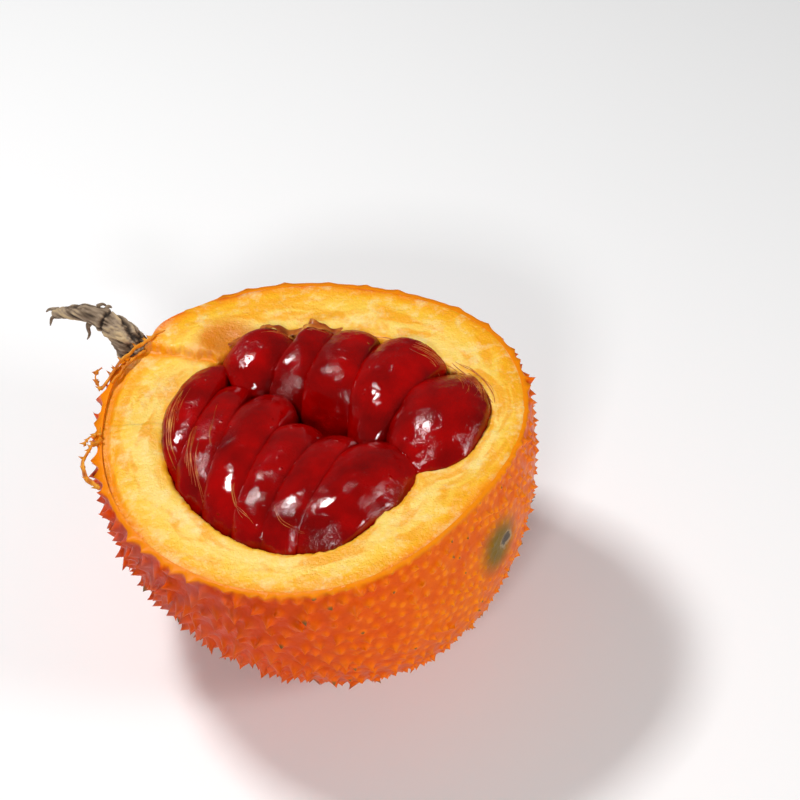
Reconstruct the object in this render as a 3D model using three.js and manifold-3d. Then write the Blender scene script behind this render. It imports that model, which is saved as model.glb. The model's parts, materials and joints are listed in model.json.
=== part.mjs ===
// Half of a ripe gac fruit, cut lengthwise just above its stem and lying on its round side.
// Millimetres, +Z up. The origin is the point of the resting spot straight under the fruit's middle.
import * as THREE from 'three';
import { mergeVertices } from 'three/addons/utils/BufferGeometryUtils.js';
import Module from 'manifold-3d';

const wasm = await Module();
wasm.setup();

// ---------------------------------------------------------------- driving dimensions

const fruit = {
  length: 114, // stem end to blossom end, over the skin
  width: 110,
  axisAzimuth: -35, // the fruit's own axis lies level and points this way to its blossom end
  spikeMiddle: 1.5, // the solid's surface runs this far out, midway up the skin's soft spikes
};

const cut = {
  height: 6.5, // knife plane above the fruit's middle
  tilt: 8, // the plane is this much lower on the -X side, where it just clears the stem
};

const restSpot = { radius: 8 };

// Where the fruit is fuller (+) or flatter (-) than an even egg.
const lobes = [
  { azimuth: 0, elevation: 5, swell: -1.5, tightness: 6 },
  { azimuth: 72, elevation: 5, swell: -4, tightness: 6 },
  { azimuth: 135, elevation: 0, swell: 3.5, tightness: 6 },
  { azimuth: 150, elevation: -10, swell: 2, tightness: 24 },
  { azimuth: 260, elevation: 0, swell: 1, tightness: 6 },
  { azimuth: 318, elevation: 10, swell: -6, tightness: 6 },
  { azimuth: 300, elevation: -45, swell: 5.5, tightness: 4 },
];

// Edge of the seed cavity on the cut face, in the cut face's own x and y.
const cavity = {
  depth: 30,
  roundness: 2.4, // 2 is an ellipse, more is boxier
  edge: [
    [43.5, -1], [40.5, 8.5], [33, 17], [26, 22.5], [12, 30.5], [-5, 34], [-20, 32], [-32, 21],
    [-39, 7], [-38.5, -7], [-33.5, -20], [-23, -33], [-8, -42], [6, -41], [15, -33.5], [22, -27],
    [26, -20.5], [36, -16.5],
  ],
};

const fitGap = 0.3; // between solids that touch

// Seeds in their red arils stand on edge in two rows. Each is a plump lozenge given by its middle,
// half length, half width and heading on the cut face, and how far its top stands above that face.
const arilRows = {
  lower: [
    { middle: [-32.5, 7], halfLength: 22, halfWidth: 8, heading: 70, top: 4.5 },
    { middle: [-27, -2.5], halfLength: 23.5, halfWidth: 8.5, heading: 73, top: 4.5 },
    { middle: [-18.5, -9], halfLength: 25.5, halfWidth: 9.5, heading: 72, top: 6 },
    { middle: [-11, -18], halfLength: 23, halfWidth: 9, heading: 68, top: 6 },
    { middle: [-1.5, -23], halfLength: 22.5, halfWidth: 9, heading: 66, top: 6 },
    { middle: [9.5, -26], halfLength: 21, halfWidth: 12.5, heading: 60, top: 6.5 },
  ],
  upper: [
    { middle: [-16, 26.5], halfLength: 12.5, halfWidth: 9, heading: 65, top: 4.5 },
    { middle: [-5.5, 24.5], halfLength: 14, halfWidth: 8.5, heading: 64, top: 5 },
    { middle: [5, 17.5], halfLength: 17.5, halfWidth: 10, heading: 70, top: 5.5 },
    { middle: [18, 11], halfLength: 20.5, halfWidth: 12, heading: 62, top: 6 },
    { middle: [31.5, -3.5], halfLength: 17.5, halfWidth: 14, heading: 75, top: 6.5 },
  ],
};

// Creases between neighbours: each runs from the cavity wall to the middle of the cavity.
const creases = {
  lower: [
    [[-35, -11], [-30, 4]],
    [[-28, -25], [-21, 4]],
    [[-20.5, -33], [-9, 0.5]],
    [[-13, -36], [0.7, -5]],
    [[-4.5, -38.5], [9, -9]],
  ],
  upper: [
    [[-4, 31], [-14.5, 12]],
    [[2.6, 27.5], [-5.7, 8]],
    [[13.5, 23], [7, 0]],
    [[28, 11], [16.3, -6]],
  ],
};

const arilShape = {
  depth: 27, // of an aril's foot below the cut face
  roundness: 2.5,
};

// The dried stem, as points and radii from inside the neck to the broken tip, measured from the
// fruit's middle. It climbs past the cut, bends over at an old leaf node and thins to its tip.
const stem = {
  points: [
    [-44.5, 32.5, -7.5], [-48.8, 36.2, -4.6], [-52.2, 38.8, -0.4], [-55.9, 41, 2.8],
    [-60, 43, 3.8], [-64, 45.6, 2.8], [-68.2, 48, 0.4], [-72.2, 50, -2],
  ],
  radii: [4.8, 4.7, 4, 3.1, 2.5, 2.3, 1.8, 1.4],
  rings: 18,
  sides: 14,
};

// ---------------------------------------------------------------- shared geometry

const up = new THREE.Vector3(0, 0, 1);

function directionOf(azimuth, elevation) {
  const polar = THREE.MathUtils.degToRad(90 - elevation);
  const turn = THREE.MathUtils.degToRad(azimuth);
  return new THREE.Vector3(
    Math.sin(polar) * Math.cos(turn),
    Math.sin(polar) * Math.sin(turn),
    Math.cos(polar),
  );
}

const fruitAxis = directionOf(fruit.axisAzimuth, 0);

// Distance from the fruit's middle to the surface of the solid, in a given direction.
function surfaceRadius(direction) {
  const along = direction.dot(fruitAxis) / (fruit.length / 2);
  const across = Math.sqrt(1 - direction.dot(fruitAxis) ** 2) / (fruit.width / 2);
  let radius = 1 / Math.hypot(along, across);
  for (const lobe of lobes) {
    const nearness = direction.dot(directionOf(lobe.azimuth, lobe.elevation)) - 1;
    radius += lobe.swell * Math.exp(lobe.tightness * nearness);
  }
  return radius + fruit.spikeMiddle;
}

// The skin is pared flat where it rests, so the middle stands a little lower than its full radius.
const bottomRadius = surfaceRadius(up.clone().negate());
const middleHeight = Math.sqrt(bottomRadius ** 2 - restSpot.radius ** 2);
const fruitMiddle = new THREE.Vector3(0, 0, middleHeight);

// The cut face's frame: x and y on the face, z out of it, zero straight above the fruit's middle.
const cutFrame = new THREE.Matrix4()
  .makeTranslation(fruitMiddle)
  .multiply(new THREE.Matrix4().makeRotationY(-THREE.MathUtils.degToRad(cut.tilt)))
  .multiply(new THREE.Matrix4().makeTranslation(0, 0, cut.height));

function reshape(geometry, place) {
  const points = geometry.attributes.position;
  const point = new THREE.Vector3();
  for (let i = 0; i < points.count; i += 1) {
    place(point.fromBufferAttribute(points, i));
    points.setXYZ(i, point.x, point.y, point.z);
  }
  return geometry;
}

function toSolid(geometry) {
  const bare = geometry.clone();
  bare.deleteAttribute('normal');
  bare.deleteAttribute('uv');
  const merged = mergeVertices(bare, 1e-4);
  return new wasm.Manifold(new wasm.Mesh({
    numProp: 3,
    vertProperties: Float32Array.from(merged.attributes.position.array),
    triVerts: Uint32Array.from(merged.index.array),
  }));
}

function toGeometry(solid) {
  const mesh = solid.getMesh();
  const geometry = new THREE.BufferGeometry();
  geometry.setAttribute('position', new THREE.BufferAttribute(mesh.vertProperties, 3));
  geometry.setIndex(new THREE.BufferAttribute(mesh.triVerts, 1));
  geometry.computeVertexNormals();
  return geometry;
}

// A block whose bottom face is centred on the origin; used as half of space.
const blockSize = 400;

function halfSpace() {
  return new THREE.BoxGeometry(blockSize, blockSize, blockSize).translate(0, 0, blockSize / 2);
}

// A unit sphere's point pushed out to a rounded box of the same reach.
function squareOff(point, roundness) {
  const reach = Math.abs(point.x) ** roundness + Math.abs(point.y) ** roundness
    + Math.abs(point.z) ** roundness;
  return point.multiplyScalar(reach ** (-1 / roundness));
}

// ---------------------------------------------------------------- seed cavity

const cavityEdge = new THREE.CatmullRomCurve3(
  cavity.edge.map(([x, y]) => new THREE.Vector3(x, y, 0)),
  true,
).getPoints(240);

// How far the cavity's edge is from the cut face's middle, looking along a heading in radians.
function cavityReach(heading) {
  const wanted = new THREE.Vector3(Math.cos(heading), Math.sin(heading), 0);
  let best = cavityEdge[0];
  for (const candidate of cavityEdge) {
    const isNearer = candidate.dot(wanted) / candidate.length() > best.dot(wanted) / best.length();
    if (isNearer) best = candidate;
  }
  return best.length();
}

function cavityGeometry(clearance) {
  const ball = new THREE.SphereGeometry(1, 48, 16).rotateX(Math.PI / 2);
  return reshape(ball, (point) => {
    const heading = Math.atan2(point.y, point.x);
    const flat = Math.hypot(point.x, point.y);
    const section = (flat ** cavity.roundness + Math.abs(point.z) ** cavity.roundness)
      ** (-1 / cavity.roundness);
    const reach = flat * section * (cavityReach(heading) - clearance);
    point.set(
      reach * Math.cos(heading),
      reach * Math.sin(heading),
      point.z * section * (cavity.depth - clearance),
    );
  }).applyMatrix4(cutFrame);
}

// ---------------------------------------------------------------- stem

function stemGeometry(extraRadius) {
  const line = new THREE.CatmullRomCurve3(
    stem.points.map(([x, y, z]) => new THREE.Vector3(x, y, z).add(fruitMiddle)),
  );
  const positions = [];
  const indices = [];
  const frames = line.computeFrenetFrames(stem.rings, false);
  for (let ring = 0; ring <= stem.rings; ring += 1) {
    const along = ring / stem.rings;
    const centre = line.getPointAt(along);
    const place = line.getUtoTmapping(along) * (stem.radii.length - 1);
    const from = Math.min(Math.floor(place), stem.radii.length - 2);
    const radius = THREE.MathUtils.lerp(stem.radii[from], stem.radii[from + 1], place - from);
    for (let side = 0; side < stem.sides; side += 1) {
      const turn = (side / stem.sides) * Math.PI * 2;
      const point = centre.clone()
        .addScaledVector(frames.normals[ring], Math.cos(turn) * (radius + extraRadius))
        .addScaledVector(frames.binormals[ring], Math.sin(turn) * (radius + extraRadius));
      positions.push(point.x, point.y, point.z);
    }
  }
  for (let ring = 0; ring < stem.rings; ring += 1) {
    for (let side = 0; side < stem.sides; side += 1) {
      const next = (side + 1) % stem.sides;
      const a = ring * stem.sides + side;
      const b = ring * stem.sides + next;
      indices.push(a, b, a + stem.sides, b, b + stem.sides, a + stem.sides);
    }
  }
  const lastRing = stem.rings * stem.sides;
  for (let side = 1; side < stem.sides - 1; side += 1) {
    indices.push(0, side + 1, side);
    indices.push(lastRing, lastRing + side, lastRing + side + 1);
  }
  const geometry = new THREE.BufferGeometry();
  geometry.setAttribute('position', new THREE.Float32BufferAttribute(positions, 3));
  geometry.setIndex(indices);
  return geometry;
}

// ---------------------------------------------------------------- husk: skin and flesh in one

function huskSolid() {
  const ball = new THREE.SphereGeometry(1, 56, 30).rotateX(Math.PI / 2);
  const whole = toSolid(reshape(ball, (point) => {
    point.multiplyScalar(surfaceRadius(point.clone().normalize()));
  }).translate(fruitMiddle.x, fruitMiddle.y, fruitMiddle.z));
  const aboveCut = toSolid(halfSpace().applyMatrix4(cutFrame));
  const belowFloor = toSolid(halfSpace().rotateX(Math.PI));
  return whole
    .subtract(aboveCut)
    .subtract(belowFloor)
    .subtract(toSolid(cavityGeometry(0)))
    .subtract(toSolid(stemGeometry(fitGap)));
}

// ---------------------------------------------------------------- arils

function lozenge(aril, clearance) {
  const halfHeight = (aril.top + arilShape.depth) / 2;
  const ball = new THREE.SphereGeometry(1, 20, 14).rotateX(Math.PI / 2);
  return reshape(ball, (point) => {
    squareOff(point, arilShape.roundness);
    point.x *= aril.halfLength + clearance;
    point.y *= aril.halfWidth + clearance;
    point.z *= halfHeight + clearance;
  })
    .rotateZ(THREE.MathUtils.degToRad(aril.heading))
    .translate(aril.middle[0], aril.middle[1], aril.top - halfHeight)
    .applyMatrix4(cutFrame);
}

// Everything on one side of a crease, standing square to the cut face.
function besideCrease([wallEnd, middleEnd], side) {
  const heading = Math.atan2(middleEnd[1] - wallEnd[1], middleEnd[0] - wallEnd[0]);
  return toSolid(halfSpace()
    .translate(0, 0, fitGap / 2)
    .rotateX(side * Math.PI / 2)
    .rotateZ(heading)
    .translate(wallEnd[0], wallEnd[1], 0)
    .applyMatrix4(cutFrame));
}

// The rows run along +x, so a crease has the earlier aril on its -x side.
function keepBetween(solid, before, after) {
  let kept = solid;
  const sideOf = (crease) => (crease[1][1] > crease[0][1] ? 1 : -1);
  if (before) kept = kept.intersect(besideCrease(before, sideOf(before)));
  if (after) kept = kept.intersect(besideCrease(after, -sideOf(after)));
  return kept;
}

function arilSolids() {
  const roomInside = toSolid(cavityGeometry(fitGap));
  const lowerBodies = arilRows.lower.map((aril) => toSolid(lozenge(aril, 0)));
  const lowerReserve = arilRows.lower
    .map((aril) => toSolid(lozenge(aril, fitGap)))
    .reduce((joined, next) => joined.add(next));
  const upperBodies = arilRows.upper.map((aril) => toSolid(lozenge(aril, 0)).subtract(lowerReserve));
  const rows = { lower: lowerBodies, upper: upperBodies };
  const solids = [];
  for (const [row, bodies] of Object.entries(rows)) {
    bodies.forEach((body, i) => {
      const between = keepBetween(body, creases[row][i - 1], creases[row][i]);
      solids.push({ name: `aril_${row}_${i + 1}`, solid: between.intersect(roomInside) });
    });
  }
  return solids;
}

// ---------------------------------------------------------------- materials and assembly

const materials = {
  husk: new THREE.MeshStandardMaterial({ color: 0xe8811c, roughness: 0.6, metalness: 0 }),
  aril: new THREE.MeshStandardMaterial({ color: 0xa00408, roughness: 0.2, metalness: 0 }),
  stem: new THREE.MeshStandardMaterial({ color: 0x8b7d6b, roughness: 0.85, metalness: 0 }),
};

function namedMesh(name, geometry, material) {
  const mesh = new THREE.Mesh(geometry, material);
  mesh.name = name;
  return mesh;
}

const gacHalf = new THREE.Group();
gacHalf.add(namedMesh('husk', toGeometry(huskSolid()), materials.husk));
gacHalf.add(namedMesh('stem', stemGeometry(0), materials.stem));
for (const { name, solid } of arilSolids()) {
  gacHalf.add(namedMesh(name, toGeometry(solid), materials.aril));
}

export default gacHalf;
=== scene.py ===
import json
import math
import random

import bpy
import numpy as np
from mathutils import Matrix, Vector, noise
from mathutils.bvhtree import BVHTree
from mathutils.geometry import delaunay_2d_cdt
from mathutils.kdtree import KDTree

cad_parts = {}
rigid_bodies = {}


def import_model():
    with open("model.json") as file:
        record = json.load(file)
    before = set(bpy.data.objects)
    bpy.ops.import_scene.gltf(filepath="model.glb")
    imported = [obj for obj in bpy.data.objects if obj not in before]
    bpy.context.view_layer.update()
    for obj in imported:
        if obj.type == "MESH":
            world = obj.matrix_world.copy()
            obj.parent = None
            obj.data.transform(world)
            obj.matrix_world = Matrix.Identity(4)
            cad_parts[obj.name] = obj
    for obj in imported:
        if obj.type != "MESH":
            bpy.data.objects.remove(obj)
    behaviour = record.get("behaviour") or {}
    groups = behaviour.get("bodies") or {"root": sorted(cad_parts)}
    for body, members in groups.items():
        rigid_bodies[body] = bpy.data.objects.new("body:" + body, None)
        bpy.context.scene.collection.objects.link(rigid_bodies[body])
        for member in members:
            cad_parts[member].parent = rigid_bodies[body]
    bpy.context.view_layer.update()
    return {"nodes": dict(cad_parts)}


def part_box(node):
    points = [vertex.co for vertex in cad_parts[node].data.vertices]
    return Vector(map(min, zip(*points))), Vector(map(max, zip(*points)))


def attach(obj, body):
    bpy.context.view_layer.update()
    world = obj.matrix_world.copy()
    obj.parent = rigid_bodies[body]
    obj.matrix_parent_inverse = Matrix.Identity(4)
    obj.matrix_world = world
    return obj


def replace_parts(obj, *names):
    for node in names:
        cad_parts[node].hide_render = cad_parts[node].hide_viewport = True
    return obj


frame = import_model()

mm = 0.001
scene = bpy.context.scene
noise.seed_set(3)        # noise_vector would otherwise differ from run to run

# the cut fruit's own frame is read from the husk: its cut face, its middle and its skin

fruit = {
    "cutAboveMiddle": 6.5,       # mm, how far above the fruit's middle the knife passed
    "blossomHeading": -35.0,     # degrees from +X; the fruit's axis lies level
    "skinLift": 1.5,             # mm, the husk solid runs midway up the spikes
    "skinThickness": 0.8,        # mm
    "cavityDepth": 30.0,         # mm
    "cavityRoundness": 2.4,
    "cutFaceAbove": 45.0,        # mm, the cut face is the husk's level faces above this
    "cutFaceSlope": 0.975,       # and their normals point up at least this much
    "blossomDip": 0.12,
    "scarPlace": (44.4, -25.6, -6.6),     # mm from the fruit's middle
    "faceInset": 0.4,            # mm below the cut face where the rim is measured
    "wallInset": 0.3,            # and where the cavity is
}


def readCutFace(husk):
    normal, point, area = Vector(), Vector(), 0.0
    for face in husk.polygons:
        if face.normal.z > fruit["cutFaceSlope"] and face.center.z > fruit["cutFaceAbove"] * mm:
            normal += face.normal * face.area
            point += face.center * face.area
            area += face.area
    return normal.normalized(), point / area


huskMesh = frame["nodes"]["husk"].data
cutNormal, cutPoint = readCutFace(huskMesh)
cutX = Vector((cutNormal.z, 0.0, -cutNormal.x)).normalized()
cutY = cutNormal.cross(cutX)
axisHeight = cutPoint.z + (cutPoint.x * cutNormal.x + cutPoint.y * cutNormal.y) / cutNormal.z
middle = Vector((0.0, 0.0, axisHeight - fruit["cutAboveMiddle"] * mm / cutNormal.z))
cutCentre = middle + cutNormal * fruit["cutAboveMiddle"] * mm
heading = math.radians(fruit["blossomHeading"])
blossomDirection = Vector((math.cos(heading), math.sin(heading), -fruit["blossomDip"])).normalized()
scarDirection = Vector(fruit["scarPlace"]).normalized()
huskTree = BVHTree.FromPolygons(
    [v.co.copy() for v in huskMesh.vertices], [tuple(f.vertices) for f in huskMesh.polygons])


def onCut(x, y, z=0.0):          # millimetres on the cut face, to a point in the frame
    return cutCentre + (cutX * x + cutY * y + cutNormal * z) * mm


def smoothStep(low, high, value):
    t = np.clip((value - low) / (high - low), 0.0, 1.0)
    return t * t * (3.0 - 2.0 * t)


def mix(a, b, t):
    return a + (b - a) * t


def fractal(points, size, octaves=3, seed=0.0):       # noise at each point, about -1 to 1
    shift = Vector((seed * 17.3, seed * 5.1, seed * 9.7))
    values = np.empty(len(points))
    for i, point in enumerate(points):
        values[i] = noise.fractal(Vector(point) / (size * mm) + shift, 0.6, 2.0, octaves)
    return values


# small mesh and material helpers

def linearColor(hexCode):
    channels = [int(hexCode[i:i + 2], 16) / 255 for i in (1, 3, 5)]
    return tuple(c / 12.92 if c <= 0.04045 else ((c + 0.055) / 1.055) ** 2.4 for c in channels) + (1.0,)


def addNode(tree, kind, inputs=None, **settings):
    node = tree.nodes.new(kind)
    for name, value in settings.items():
        setattr(node, name, value)
    for name, value in (inputs or {}).items():
        if isinstance(value, bpy.types.NodeSocket):
            tree.links.new(value, node.inputs[name])
        else:
            node.inputs[name].default_value = value
    return node


def newMaterial(name, surface):      # surface: the values that are the same all over
    material = bpy.data.materials.new(name)
    material.use_nodes = True
    tree = material.node_tree
    tree.nodes.clear()
    output = addNode(tree, "ShaderNodeOutputMaterial")
    shader = addNode(tree, "ShaderNodeBsdfPrincipled", surface)
    tree.links.new(shader.outputs[0], output.inputs["Surface"])
    return material, tree, shader, addNode(tree, "ShaderNodeTexCoord").outputs["Object"]


def setRamp(node, stops):
    elements = node.color_ramp.elements
    while len(elements) < len(stops):
        elements.new(0.5)
    for element, (place, hexCode) in zip(elements, stops):
        element.position = place
        element.color = linearColor(hexCode)
    return node


def layColours(tree, colour, layers):      # each colour over the last, as strong as its share
    for share, hexCode in layers:
        layer = addNode(tree, "ShaderNodeMix", {"Factor": share, "A": colour, "B": linearColor(hexCode)},
                        data_type="RGBA")
        colour = layer.outputs["Result"]
    return colour


def layBumps(tree, layers):      # reliefs on top of each other: height, strength, depth in metres
    normal = {}
    for height, strength, depth in layers:
        bump = addNode(tree, "ShaderNodeBump",
                       {"Height": height, "Strength": strength, "Distance": depth, **normal})
        normal = {"Normal": bump.outputs[0]}
    return normal["Normal"]


def deselectAll():
    for item in scene.objects:
        item.select_set(False)


def makeActive(piece):
    deselectAll()
    piece.hide_set(False)
    piece.select_set(True)
    bpy.context.view_layer.objects.active = piece


def dressPiece(piece, material):
    piece.data.materials.clear()
    piece.data.materials.append(material)
    piece.data.polygons.foreach_set("use_smooth", [True] * len(piece.data.polygons))


def meshPiece(name, points, faces, material):
    mesh = bpy.data.meshes.new(name)
    mesh.from_pydata([tuple(p) for p in points], [], [tuple(int(i) for i in f) for f in faces])
    mesh.update()
    piece = bpy.data.objects.new(name, mesh)
    scene.collection.objects.link(piece)
    dressPiece(piece, material)
    return piece


def bandFaces(first, second, count):      # quads between two rings of points
    return [(first + k, first + (k + 1) % count, second + (k + 1) % count, second + k) for k in range(count)]


def outwardNormals(piece):
    makeActive(piece)
    bpy.ops.object.mode_set(mode="EDIT")
    bpy.ops.mesh.select_all(action="SELECT")
    bpy.ops.mesh.normals_make_consistent(inside=False)
    bpy.ops.object.mode_set(mode="OBJECT")


def sharpenRing(piece, first, last):     # a crisp edge along one ring of points
    for edge in piece.data.edges:
        a, b = edge.vertices
        if first <= a < last and first <= b < last:
            edge.use_edge_sharp = True


def storeValues(piece, name, values):
    attribute = piece.data.attributes.new(name, "FLOAT", "POINT")
    attribute.data.foreach_set("value", np.asarray(values, np.float32))


def attributeValue(tree, name):
    return addNode(tree, "ShaderNodeAttribute", attribute_name=name).outputs["Fac"]


# camera: looks down at 45 degrees along +Y, a little past the fruit

view = {
    "elevation": 45.0,
    "distance": 0.7,
    "lens": 124.4,
    "aimFromMiddle": (19.8, 7.8, 7.8),     # mm
}


def addCamera():
    tilt = math.radians(view["elevation"])
    back = Vector((0.0, -math.cos(tilt), math.sin(tilt)))
    aim = middle + Vector(view["aimFromMiddle"]) * mm
    data = bpy.data.cameras.new("camera")
    data.lens = view["lens"]
    data.sensor_width = 36.0
    camera = bpy.data.objects.new("camera", data)
    scene.collection.objects.link(camera)
    camera.location = aim + back * view["distance"]
    camera.rotation_euler = (math.pi / 2 - tilt, 0.0, 0.0)
    scene.camera = camera


addCamera()

# the skin's smooth base surface, as a table of distances from the middle

skinTable = {
    "rows": 36,
    "columns": 144,
    "smoothing": 2,
    "socketColumns": 9,          # how far to each side the stem's socket is bridged
    "socketDepth": (4.5, 1.5),   # mm, what counts as the socket and what is left of it
}
rayStart, rayReach = 0.2, 0.3    # metres, rays start outside the fruit
roundBy = np.linspace(0.0, 2 * math.pi, skinTable["columns"], endpoint=False)


def circular(values, passes):
    for _ in range(passes):
        values = (np.roll(values, 1, -1) + 2 * values + np.roll(values, -1, -1)) / 4
    return values


def rimReach():                  # from the cut face's middle to the skin, in millimetres
    reach = []
    for turn in roundBy:
        out = cutX * math.cos(turn) + cutY * math.sin(turn)
        start = cutCentre - cutNormal * fruit["faceInset"] * mm + out * rayStart
        hit = huskTree.ray_cast(start, -out, rayReach)[0]
        reach.append((hit - cutCentre).length / mm - fruit["skinLift"])
    return circular(np.array(reach), 3)


def cavityReach():
    reach = []
    for turn in roundBy:
        out = cutX * math.cos(turn) + cutY * math.sin(turn)
        hit = huskTree.ray_cast(cutCentre - cutNormal * fruit["wallInset"] * mm, out, rayReach)[0]
        reach.append((hit - cutCentre).length / mm)
    return circular(np.array(reach), 1)


rimTable = rimReach()
cavityTable = cavityReach()


def curveThrough(p0, p1, p2, p3, part):      # smooth curve from p1 to p2
    return 0.5 * (2 * p1 + (p2 - p0) * part + (2 * p0 - 5 * p1 + 4 * p2 - p3) * part ** 2
                  + (3 * p1 - p0 - 3 * p2 + p3) * part ** 3)


def roundTable(table, turn):     # value of a table of one turn, at any angles
    place = (np.asarray(turn) / (2 * math.pi)) % 1.0 * skinTable["columns"]
    low = np.floor(place).astype(int)
    part = place - low
    columns = skinTable["columns"]
    before, after = table[(low - 1) % columns], table[(low + 2) % columns]
    a, b = table[low % columns], table[(low + 1) % columns]
    return curveThrough(before, a, b, after, part)


def rimPolar(turn):              # angle from straight down, at the middle, to the rim
    return math.pi / 2 + np.arctan2(fruit["cutAboveMiddle"], roundTable(rimTable, turn))


def directions(turn, polar):     # unit vectors, one row each
    side = np.outer(np.cos(turn) * np.sin(polar), cutX) + np.outer(np.sin(turn) * np.sin(polar), cutY)
    return side - np.outer(np.cos(polar), cutNormal)


def measureSkin():
    rows = skinTable["rows"]
    table = np.zeros((rows + 1, skinTable["columns"]))
    for row in range(rows + 1):
        polar = rimPolar(roundBy) * row / rows * 0.997
        for column, direction in enumerate(directions(roundBy, polar)):
            out = Vector(direction)
            hit = huskTree.ray_cast(middle + out * rayStart, -out, rayReach)[0]
            table[row, column] = (hit - middle).length / mm - fruit["skinLift"]
    table[rows] = np.hypot(rimTable, fruit["cutAboveMiddle"])
    side = skinTable["socketColumns"]
    deep, left = skinTable["socketDepth"]
    widest = np.max([np.roll(table, s, 1) for s in (-side, side)], axis=0)
    table = np.where(table < widest - deep, widest - left, table)     # closes the stem's socket
    for _ in range(skinTable["smoothing"]):
        inner = circular(table, 1)
        inner[1:-1] = (inner[:-2] + 2 * inner[1:-1] + inner[2:]) / 4
        inner[-1] = table[-1]
        table = inner
    return table


skinDistances = measureSkin()


def skinRadius(turn, polar):     # millimetres from the middle to the base of the skin
    rows = skinTable["rows"]
    place = np.clip(np.asarray(polar) / rimPolar(turn), 0.0, 0.99999) * rows
    low = place.astype(int)
    values = np.empty(len(place))
    for row in np.unique(low):
        here = low == row
        part = place[here] - row
        below = roundTable(skinDistances[row], turn[here])
        above = roundTable(skinDistances[row + 1], turn[here])
        values[here] = mix(below, above, part)
    return values


print("frame read: cut face normal", [round(c, 3) for c in cutNormal], "middle", round(middle.z / mm, 1))

# rind: waxy ripe skin with soft spikes, finer and closer towards the blossom end

rind = {
    "seed": 11,
    "spacing": (2.5, 4.5),       # mm between spikes, at the blossom end and at the far side
    "heightShare": (0.40, 0.70),     # spike height over spacing, at the same two places
    "footShare": 0.68,           # spike foot radius over spacing
    "sharpness": 1.75,
    "lean": 0.38,
    "bareScar": 5.0,             # mm of smooth skin round the blossom scar
    "fillSpacing": 1.25,         # mm between the skin's own points
    "rimSteps": 900,
    "innerRings": 8,
    "tries": 30000,              # random places tried for spikes
    "spacingTurn": (10, 95),     # degrees from the blossom end over which the spacing grows
    "meanRadius": 56.0,          # mm
    "rings": ((0.0, 1), (0.16, 5), (0.38, 7), (0.72, 8)),     # spike's points: share of foot, count
    "nearCutLoss": 0.62,         # how much lower the spikes by the far rim are
    "swell": ((9.0, 0.25), (2.6, 0.13)),     # mm, size and height of the skin's own unevenness
    "scarDent": (0.8, 2.6),      # mm deep, mm wide
    "edgeGap": 0.3,              # mm, the skin's inner edge laps this far over the flesh
}


def toTurnPolar(direction):
    x = direction @ np.array(cutX)
    y = direction @ np.array(cutY)
    z = direction @ np.array(cutNormal)
    return np.arctan2(y, x) % (2 * math.pi), np.arccos(np.clip(-z, -1.0, 1.0))


def spikeSeeds():
    pick = np.random.default_rng(rind["seed"])
    count = rind["tries"]
    turn = pick.uniform(0, 2 * math.pi, count)
    lowest = -math.sin(math.radians(7.0))
    polar = np.arccos(pick.uniform(lowest, 1.0, count))
    out = directions(turn, polar)
    towards = np.degrees(np.arccos(np.clip(out @ np.array(blossomDirection), -1, 1)))
    spacing = mix(*rind["spacing"], smoothStep(*rind["spacingTurn"], towards))
    spacing *= pick.uniform(0.88, 1.15, count)
    keep = polar < rimPolar(turn) + 0.01
    out, spacing, turn, polar = out[keep], spacing[keep], turn[keep], polar[keep]
    places = out * rind["meanRadius"]
    chosen = np.zeros((4000, 3))
    index = []
    for i in range(len(places)):
        n = len(index)
        if n and np.min(np.sum((chosen[:n] - places[i]) ** 2, 1)) < (spacing[i] * 0.9) ** 2:
            continue
        chosen[n] = places[i]
        index.append(i)
    index = np.array(index)
    return turn[index], polar[index], spacing[index]


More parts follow.
